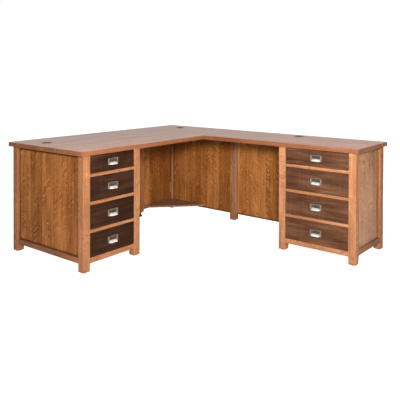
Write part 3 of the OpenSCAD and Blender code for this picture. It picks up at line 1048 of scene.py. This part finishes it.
        # the plate and screws take the darker nickel as painted shade, the lip the paler one as a painted
        # highlight
        plate = new_object(node + "_plate", self.plate(), self.shaded_plate)
        lip = new_object(node + "_lip", self.lip(), self.nickel)
        back = new_object(node + "_label_back", self.back(), self.backing)
        for piece in (plate, lip, back):
            piece.data.transform(place)
            soften(piece.data, 40)
        spread = self.screw_spread
        seat = -self.thickness - 0.05 * MM
        spots = [place @ Vector((sx * spread.x, seat, sz * spread.z)) for sx in (-1, 1) for sz in (-1, 1)]
        # the screw's axis, its own +Z, points into the drawer front
        turn = arm.inward.to_track_quat("Z", "Y").to_euler()
        screws = self.copier.copies(node + "_screws", self.screw(), spots, self.shaded_plate, Vector(turn),
                                    self.screw_spin)
        hand_in(plate, body, "pull_nickel", [node])
        hand_in(lip, body, "pull_nickel")
        hand_in(back, body, "pull_nickel")
        hand_in(screws, body, "pull_nickel")


def rounded_rectangle(
    x0: float, y0: float, x1: float, y1: float, radius: float,
) -> list[tuple[float, float]]:
    """The outline of a rectangle with round corners, counter-clockwise."""
    points = []
    for cx, cy, start in ((x1 - radius, y0 + radius, -90), (x1 - radius, y1 - radius, 0),
                          (x0 + radius, y1 - radius, 90), (x0 + radius, y0 + radius, 180)):
        for step in range(5):
            angle = math.radians(start + 90 * step / 4)
            points.append((cx + radius * math.cos(angle), cy + radius * math.sin(angle)))
    return points


# ---- Grommets and feet ----


@dataclass
class Fittings:
    """The turned plastic parts: cable grommets, post glides and the support leg's leveller."""

    rubber: bpy.types.Material
    liner: bpy.types.Material
    copier: Scatter
    grommet_bore: float = 27 * MM
    grommet_outside: float = 29.8 * MM
    flange_radius: float = 36 * MM
    rise: float = 2 * MM
    glide_radius: float = 19 * MM
    tallest_glide: float = 10 * MM
    leveller_radius: float = 21 * MM

    def grommets(self) -> None:
        """Copies the grommet liner into each hole of the tops."""
        low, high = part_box("cable_grommets")
        length = high.z - low.z
        b, o, f, top = self.grommet_bore, self.grommet_outside, self.flange_radius, self.rise
        outline = [(b, -length + top), (o, -length + top), (o, 0.05 * MM), (f, 0.05 * MM), (f, 0.6 * top)]
        outline += [(f - 0.8 * MM, top), (b + 2.2 * MM, top), (b + 0.7 * MM, 0.7 * top), (b, 0.2 * top)]
        spots = [Vector((*self.hole_centre(island), high.z - self.rise)) for island in self.hole_islands()]
        piece = self.copier.copies("cable_grommet_liners", lathe(outline, 64), spots, self.liner)
        hand_in(piece, "desk", "black_plastic", ["cable_grommets"])

    @staticmethod
    def hole_islands() -> list[bmesh.types.BMesh]:
        """The separate liners of the CAD node."""
        cut = Timber("cable_grommets", "desk", "black_plastic", None)
        return cut.islands()

    @staticmethod
    def hole_centre(island: bmesh.types.BMesh) -> tuple[float, float]:
        """The middle of a liner seen from above, freeing the liner's mesh."""
        xs = [v.co.x for v in island.verts]
        ys = [v.co.y for v in island.verts]
        island.free()
        return (min(xs) + max(xs)) / 2, (min(ys) + max(ys)) / 2

    def feet(self) -> None:
        """Copies a glide under each post and builds the leveller under the support leg."""
        glides, levellers = [], []
        for island in Timber("foot_glides", "desk", "black_plastic", None).islands():
            tall = max(v.co.z for v in island.verts)
            centre = self.hole_centre(island)
            (glides if tall < self.tallest_glide else levellers).append((centre, tall))
        r, h = self.glide_radius, glides[0][1]
        pad = [(0, 0), (r - 3 * MM, 0), (r - 1 * MM, 0.25 * h), (r, 0.6 * h), (r, h), (0, h)]
        spots = [Vector((x, y, 0)) for (x, y), _ in glides]
        piece = self.copier.copies("post_glides", disc_lathe(pad), spots, self.rubber)
        hand_in(piece, "desk", "black_plastic", ["foot_glides"])
        (x, y), tall = levellers[0]
        r = self.leveller_radius
        foot = [(0, 0), (r - 2 * MM, 0), (r, 2 * MM), (r, 9 * MM), (r - 3 * MM, 12 * MM),
                (0.62 * r, 15 * MM), (0.55 * r, tall - 8 * MM), (0.7 * r, tall - 7 * MM),
                (0.7 * r, tall), (0, tall)]
        piece = self.copier.copies("leg_leveller", disc_lathe(foot), [Vector((x, y, 0))], self.rubber)
        hand_in(piece, "desk", "black_plastic")


# ---- The desk ----


@dataclass
class Desk:
    """The whole desk: its timber, drawers, fittings and metalwork."""

    copier: Scatter
    finishes: dict[str, bpy.types.Material]
    panels: Sequence[str] = (
        "main_end_panel", "main_inner_panel", "main_back_panels", "corner_end_panel",
        "return_end_panel", "return_inner_panel", "return_back_panel", "return_modesty_panel",
    )
    # the return's modesty panel, in the shade of the top, is painted lighter: painted light
    panel_painted_light: Mapping[str, float] = field(default_factory=lambda: {"return_modesty_panel": 0.12})
    # one post is painted lighter as painted light and one darker as painted shade
    painted_post_tones: Sequence[tuple[tuple[float, float], float]] = (
        ((0.376, -0.462), 0.16), ((0.799, 0.279), -0.16),
    )
    # rails away from the drawer side are painted darker: painted shade
    hidden_rail_shade: float = -0.22
    same_place: float = 30 * MM

    def tops(self) -> None:
        """Both tops, of boards along each arm, with softly rounded edges."""
        for node, grain in (("main_top", Axis.X), ("return_top", Axis.Y)):
            Timber(node, "desk", "top_wood", self.finishes["top"], 2.5 * MM, grain).make()

    def frame(self) -> None:
        """Posts, rails, panels, shelf and cleats."""
        for node in ("main_posts", "return_posts"):
            Timber(node, "desk", "frame_wood", self.finishes["frame"], 2.2 * MM, Axis.Z,
                   painted_light_and_shade=self.post_light_and_shade).make()
        for arm in Arm:
            Timber(arm.value + "_rails", "desk", "frame_wood", self.finishes["frame"], 1.2 * MM,
                   painted_light_and_shade=self.rail_stain(arm)).make()
        for node in self.panels:
            # the return's end panel takes the copy with the painted sheen
            finish = self.finishes["sheen" if node == "return_end_panel" else "panel"]
            tone = self.panel_painted_light.get(node, 0.0)
            Timber(node, "desk", "panel_wood", finish, 0.8 * MM, Axis.Z,
                   painted_light_and_shade=lambda low, high, t=tone: t).make()
        Timber("corner_shelf", "desk", "panel_wood", self.finishes["shelf"], 1.5 * MM, Axis.X).make()
        Timber("support_cleats", "desk", "inner_wood", self.finishes["inner"], 0.8 * MM).make()

    def post_light_and_shade(self, low: Vector, high: Vector) -> float:
        """The tone painted on a post in place of light and shade: lighter on one of the return's front
        posts, darker on the post that stands between two corners.
        """
        middle = ((low + high) / 2).to_2d()
        here = (tone for spot, tone in self.painted_post_tones if (middle - Vector(spot)).length < self.same_place)
        return next(here, 0.0)

    def rail_stain(self, arm: Arm) -> Callable[[Vector, Vector], float]:
        """The painted shade on one arm's rails: those away from the drawer side are painted darker.

        Args:
            arm: the desk's arm.

        Returns:
            A function from a rail's lowest and highest corners to its change of tone.
        """
        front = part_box(arm.value + "_rails")[0].dot(arm.inward)

        def painted_light_and_shade(low: Vector, high: Vector) -> float:
            """Zero for a rail on the drawer side, and below zero for the others."""
            at_front = (low + high).dot(arm.inward) / 2 < front + self.same_place
            return 0.0 if at_front else self.hidden_rail_shade

        return painted_light_and_shade

    def drawers(self) -> None:
        """Fronts, boxes and pulls of all eight drawers."""
        metals = (self.finishes[key] for key in ("nickel", "shaded_plate", "backing"))
        pull = LabelPull(*metals, self.copier)
        for arm in Arm:
            for number in DRAWERS:
                body = f"{arm.value}_drawer_{number}"
                # each arm takes its own copy of the sawn finish: painted shade on the main arm, painted
                # light on the return
                front = self.finishes[arm.value + "_front"]
                Timber(body + "_front", body, "drawer_front_wood", front, 1.4 * MM).make()
                Timber(body + "_box", body, "drawer_box_wood", self.finishes["box"], 0.8 * MM).make()
                pull.make(arm, number)

    def metalwork(self) -> None:
        """Zinc on the slides, and dark steel with paler bolts on the plates under the seam, the plates'
        dark partly painted shade.
        """
        for name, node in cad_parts.items():
            if "slide" in name or name == "seam_plates":
                node.data.materials.clear()
                node.data.materials.append(self.finishes["plate" if name == "seam_plates" else "zinc"])
                LOG.info("%s: metal finish", name)

    def make(self) -> None:
        """Builds everything in order."""
        self.tops()
        self.frame()
        self.drawers()
        fittings = Fittings(self.finishes["black"], self.finishes["brown"], self.copier)
        fittings.grommets()
        fittings.feet()
        self.metalwork()


# ---- Studio ----


@dataclass(frozen=True)
class Lamp:
    """One square soft light, which lights surfaces but isn't mirrored in them."""

    name: str
    place: Vector
    size: float
    power: float

    def hang(self, aim: Vector) -> None:
        """Adds the light to the scene.

        Args:
            aim: the point that it faces.
        """
        data = bpy.data.lights.new(self.name, "AREA")
        data.shape, data.size, data.energy = "SQUARE", self.size, self.power
        lamp = bpy.data.objects.new(self.name, data)
        bpy.context.scene.collection.objects.link(lamp)
        lamp.visible_glossy = False
        lamp.location = self.place
        lamp.rotation_mode = "QUATERNION"
        lamp.rotation_quaternion = (aim - self.place).to_track_quat("-Z", "Y")


LAMPS = (
    Lamp("key", Vector((-3.0, -2.6, 1.7)), 0.5, 275.0),
    Lamp("left", Vector((-3.6, -1.0, 1.35)), 1.0, 36.0),
    Lamp("near", Vector((-0.9, -1.7, 1.1)), 0.6, 29.0),
    Lamp("right", Vector((3.4, -2.2, 1.3)), 1.2, 40.0),
)


@dataclass
class Studio:
    """Camera, pale floor and soft lights."""

    stand: Vector = field(default_factory=lambda: Vector((-2.9797, -2.4618, 1.2369)))
    heading: float = 0.6533
    pitch: float = 0.0110
    roll: float = 0.0033
    lens: float = 49.44
    sensor: float = 36.0
    shift: tuple[float, float] = (-0.0510, -0.2988)
    aim: Vector = field(default_factory=lambda: Vector((0.0, 0.1, 0.4)))
    floor_glow: float = 0.93
    room_front: float = 0.03
    room_back: float = 0.85
    turn_of_room: tuple[float, float] = (0.15, 0.5)
    floor_reach: float = 14.0
    floor_bounce: float = 0.5

    def camera(self) -> None:
        """Stands the camera at eye height with an upright, shifted lens."""
        data = bpy.data.cameras.new("camera")
        data.lens, data.sensor_width = self.lens, self.sensor
        data.shift_x, data.shift_y = self.shift
        camera = bpy.data.objects.new("camera", data)
        bpy.context.scene.collection.objects.link(camera)
        ahead = Vector((math.cos(self.heading) * math.cos(self.pitch),
                        math.sin(self.heading) * math.cos(self.pitch), -math.sin(self.pitch)))
        right = Vector((math.sin(self.heading), -math.cos(self.heading), 0))
        up = right.cross(ahead)
        right, up = (right * math.cos(self.roll) + up * math.sin(self.roll),
                     up * math.cos(self.roll) - right * math.sin(self.roll))
        turn = Matrix((right, up, -ahead)).transposed()
        camera.matrix_world = Matrix.Translation(self.stand) @ turn.to_4x4()
        bpy.context.scene.camera = camera

    def floor(self) -> None:
        """A wide pale floor, lit from inside so that it stays pale in the desk's shade."""
        mesh = bpy.data.meshes.new("floor")
        r = self.floor_reach
        mesh.from_pydata([(-r, -r, 0), (r, -r, 0), (r, r, 0), (-r, r, 0)], [], [(0, 1, 2, 3)])
        s = Shader("pale_floor")
        place = s.place()
        mottle = s.noise(place, 3.0, 2.0)
        seen = s.node("LightPath", {}).outputs["Is Camera Ray"]
        colour = s.ramp(mottle, ((0.3, (0.74, 0.74, 0.74)), (0.7, (0.76, 0.76, 0.76))))
        colour = s.blend(s.sub(1.0, seen), colour, opaque((self.floor_bounce,) * 3))
        glow = {"emission_color": (1, 1, 1, 1), "emission_strength": s.mul(seen, self.floor_glow)}
        floor = new_object("floor", mesh, s.finish(base_color=colour, roughness=0.9, **glow))

    def surround(self) -> None:
        """Lights the room: a white backdrop behind the desk and a dimmer room in front of it."""
        world = bpy.data.worlds.new("surround")
        world.use_nodes = True
        tree = world.node_tree
        tree.nodes.clear()
        add = tree.nodes.new

        def link(source: Socket, target: Socket) -> None:
            """Joins two sockets."""
            tree.links.new(source, target)

        towards, dot = add("ShaderNodeTexCoord"), add("ShaderNodeVectorMath")
        dot.operation = "DOT_PRODUCT"
        dot.inputs[1].default_value = (math.cos(self.heading), math.sin(self.heading), 0.0)
        link(towards.outputs["Generated"], dot.inputs[0])
        across = add("ShaderNodeMapRange")
        across.interpolation_type = "SMOOTHSTEP"
        for number, value in enumerate((*self.turn_of_room, self.room_front, self.room_back), start=1):
            across.inputs[number].default_value = value
        link(dot.outputs["Value"], across.inputs[0])
        lit, seen = add("ShaderNodeBackground"), add("ShaderNodeBackground")
        out = add("ShaderNodeOutputWorld")
        lit.inputs["Color"].default_value = (1.0, 0.985, 0.96, 1.0)
        link(across.outputs[0], lit.inputs["Strength"])
        seen.inputs["Color"].default_value = (1, 1, 1, 1)
        seen.inputs["Strength"].default_value = 1.0
        path, mix = add("ShaderNodeLightPath"), add("ShaderNodeMixShader")
        link(path.outputs["Is Camera Ray"], mix.inputs[0])
        link(lit.outputs[0], mix.inputs[1])
        link(seen.outputs[0], mix.inputs[2])
        link(mix.outputs[0], out.inputs["Surface"])
        bpy.context.scene.world = world

    def lights(self) -> None:
        """Hangs the lamps and lights the room."""
        for lamp in LAMPS:
            lamp.hang(self.aim)
        self.surround()
        bpy.context.scene.view_settings.view_transform = "Standard"

    def make(self) -> None:
        """Sets up everything but the desk."""
        self.camera()
        self.floor()
        self.lights()


def main() -> None:
    """Builds the studio and the desk, and reports each piece."""
    logging.basicConfig(level=logging.INFO, format="%(name)s: %(message)s")
    Studio().make()
    finishes = {key: finish.build() for key, finish in FINISHES.items()}
    Desk(Scatter(), finishes).make()


if __name__ == "__main__":
    main()
